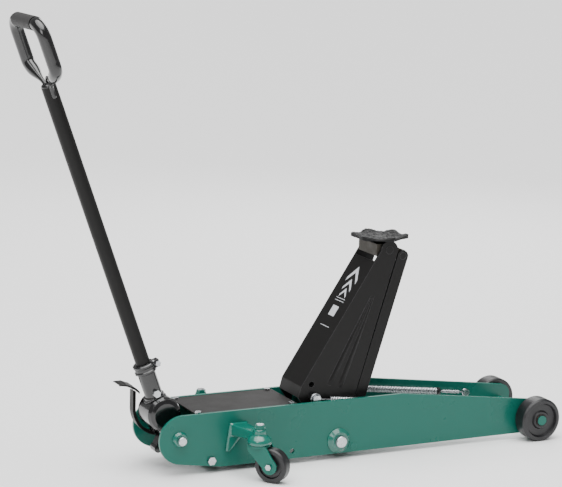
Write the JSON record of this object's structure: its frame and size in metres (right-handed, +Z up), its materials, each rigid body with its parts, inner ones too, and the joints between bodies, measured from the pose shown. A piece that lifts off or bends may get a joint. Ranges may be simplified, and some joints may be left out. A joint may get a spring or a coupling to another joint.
{
  "type": "trolley jack",
  "caption": "Long low trolley jack on two front wheels and two swivelling casters, with a raised lift arm, saddle, pump handle and foot pedal.",
  "frame": {"origin": "on the floor, under the middle of the jack's bounding box", "axes": "+X forward towards the front wheels, +Y along the axles to the jack's left, +Z up"},
  "size_m": [1.2742, 0.4346, 0.9899],
  "materials": {
    "green_enamel": "gloss green enamel",
    "black_powder": "satin black powder coat",
    "dark_cover": "matt dark grey powder coat",
    "zinc_plate": "bright zinc plate",
    "chrome_rod": "hard chrome, ground",
    "cast_black": "rough black cast",
    "machined_steel": "machined dark steel",
    "black_nylon": "moulded, satin",
    "bronze_bush": "sintered, plain",
    "grip_rubber": "matt moulded"
  },
  "bodies": {
    "chassis": {"side_plate_right": "green_enamel", "side_plate_left": "green_enamel", "main_pivot_bosses": "green_enamel", "main_pivot_shaft": "zinc_plate", "handle_pivot_bosses": "green_enamel", "handle_pivot_shaft": "zinc_plate", "handle_pivot_spacers": "zinc_plate", "cover_plate": "dark_cover", "cover_rails": "green_enamel", "cover_screws": "zinc_plate", "cross_bolt": "zinc_plate", "cross_tube": "green_enamel", "front_axle": "green_enamel", "axle_rings": "black_powder", "link_anchor_pin": "green_enamel", "spring_studs": "zinc_plate", "hydraulic_block": "machined_steel", "ram_cylinder": "machined_steel", "filler_plug": "zinc_plate", "caster_bracket_right": "green_enamel", "caster_bracket_left": "green_enamel", "return_springs": "zinc_plate"},
    "front_wheel_right": {"front_wheel_right": "black_nylon", "wheel_bush_right": "bronze_bush"},
    "front_wheel_left": {"front_wheel_left": "black_nylon", "wheel_bush_left": "bronze_bush"},
    "caster_right": {"caster_fork_right": "green_enamel", "caster_kingpin_right": "zinc_plate", "caster_nut_right": "green_enamel", "caster_bolt_right": "zinc_plate"},
    "caster_left": {"caster_fork_left": "green_enamel", "caster_kingpin_left": "zinc_plate", "caster_nut_left": "green_enamel", "caster_bolt_left": "zinc_plate"},
    "caster_wheel_right": {"caster_wheel_right": "black_nylon"},
    "caster_wheel_left": {"caster_wheel_left": "black_nylon"},
    "yoke": {"handle_yoke": "black_powder", "socket_collar": "black_powder", "collar_bolt": "zinc_plate", "socket_bolt": "zinc_plate", "roller_pin": "zinc_plate"},
    "roller": {"pump_roller": "zinc_plate"},
    "handle": {"handle_tube": "black_powder", "grip_loop": "black_powder", "grip_sleeve": "grip_rubber", "release_rod": "zinc_plate"},
    "release": {"release_spindle": "zinc_plate"},
    "pedal": {"pedal_arm": "black_powder", "pedal_pad": "black_powder"},
    "pump": {"pump_plunger": "chrome_rod"},
    "arm": {"lift_arm": "black_powder", "arm_hub_tube": "machined_steel", "crosshead_pin": "zinc_plate", "saddle_pivot_pin": "black_powder"},
    "link": {"levelling_bars": "black_powder"},
    "carrier": {"saddle_carrier": "machined_steel", "link_top_pin": "black_powder"},
    "saddle": {"saddle": "cast_black"},
    "piston": {"piston_rod": "chrome_rod"}
  },
  "joints": [
    {"name": "lift", "type": "hinge", "parent": "chassis", "child": "arm", "pos_m": [0.08206, 0, 0.043], "axis": [0, 1, 0], "range_deg": [0, 61], "deforming": ["return_springs"]},
    {"name": "link_swing", "type": "hinge", "parent": "chassis", "child": "link", "pos_m": [0.12006, 0, 0.026], "axis": [0, 1, 0], "range_deg": [0, 61]},
    {"name": "carrier_tilt", "type": "hinge", "parent": "arm", "child": "carrier", "pos_m": [0.21099, 0, 0.4595], "axis": [0, 1, 0], "range_deg": [-61, 0]},
    {"name": "saddle_turn", "type": "hinge", "parent": "carrier", "child": "saddle", "pos_m": [0.21099, 0, 0.4595], "axis": [0, 0, 1], "continuous": true},
    {"name": "ram_stroke", "type": "slide", "parent": "chassis", "child": "piston", "axis": [1, 0, 0], "range_m": [0, 0.1088]},
    {"name": "handle_pump", "type": "hinge", "parent": "chassis", "child": "yoke", "pos_m": [-0.30094, 0, 0.083], "axis": [0, -1, 0], "range_deg": [0, 62]},
    {"name": "roller_spin", "type": "hinge", "parent": "yoke", "child": "roller", "pos_m": [-0.30623, 0, 0.04537], "axis": [0, 1, 0], "continuous": true},
    {"name": "pump_stroke", "type": "slide", "parent": "chassis", "child": "pump", "axis": [1, 0, 0], "range_m": [0, 0.042]},
    {"name": "release_twist", "type": "hinge", "parent": "yoke", "child": "handle", "pos_m": [-0.30094, 0, 0.083], "axis": [-0.3387, 0, 0.9409], "range_deg": [0, 35], "stiffness_Nm_per_rad": 1, "springref_deg": -17.19},
    {"name": "release_turn", "type": "hinge", "parent": "chassis", "child": "release", "pos_m": [-0.23294, 0, 0.088], "axis": [1, 0, 0], "range_deg": [0, 35]},
    {"name": "pedal_press", "type": "hinge", "parent": "yoke", "child": "pedal", "pos_m": [-0.30094, 0, 0.083], "axis": [0, -1, 0], "range_deg": [0, 12], "stiffness_Nm_per_rad": 4, "springref_deg": -20.05},
    {"name": "front_wheel_right_spin", "type": "hinge", "parent": "chassis", "child": "front_wheel_right", "pos_m": [0.58706, -0.102, 0.05], "axis": [0, 1, 0], "continuous": true},
    {"name": "front_wheel_left_spin", "type": "hinge", "parent": "chassis", "child": "front_wheel_left", "pos_m": [0.58706, 0.102, 0.05], "axis": [0, 1, 0], "continuous": true},
    {"name": "caster_right_swivel", "type": "hinge", "parent": "chassis", "child": "caster_right", "pos_m": [-0.14994, -0.157, 0.08], "axis": [0, 0, 1], "continuous": true},
    {"name": "caster_left_swivel", "type": "hinge", "parent": "chassis", "child": "caster_left", "pos_m": [-0.14994, 0.157, 0.08], "axis": [0, 0, 1], "continuous": true},
    {"name": "caster_wheel_right_spin", "type": "hinge", "parent": "caster_right", "child": "caster_wheel_right", "pos_m": [-0.13024, -0.18222, 0.0375], "axis": [0.788, 0.6157, 0], "continuous": true},
    {"name": "caster_wheel_left_spin", "type": "hinge", "parent": "caster_left", "child": "caster_wheel_left", "pos_m": [-0.13024, 0.18222, 0.0375], "axis": [-0.788, 0.6157, 0], "continuous": true}
  ],
  "couplings": [
    {"joint": "link_swing", "follows": "lift", "ratio": 1},
    {"joint": "carrier_tilt", "follows": "lift", "ratio": -1},
    {"joint": "ram_stroke", "follows": "lift", "m_per_rad": 0.10193},
    {"joint": "pump_stroke", "follows": "handle_pump", "m_per_rad": 0.0383},
    {"joint": "release_turn", "follows": "release_twist", "ratio": 1}
  ]
}
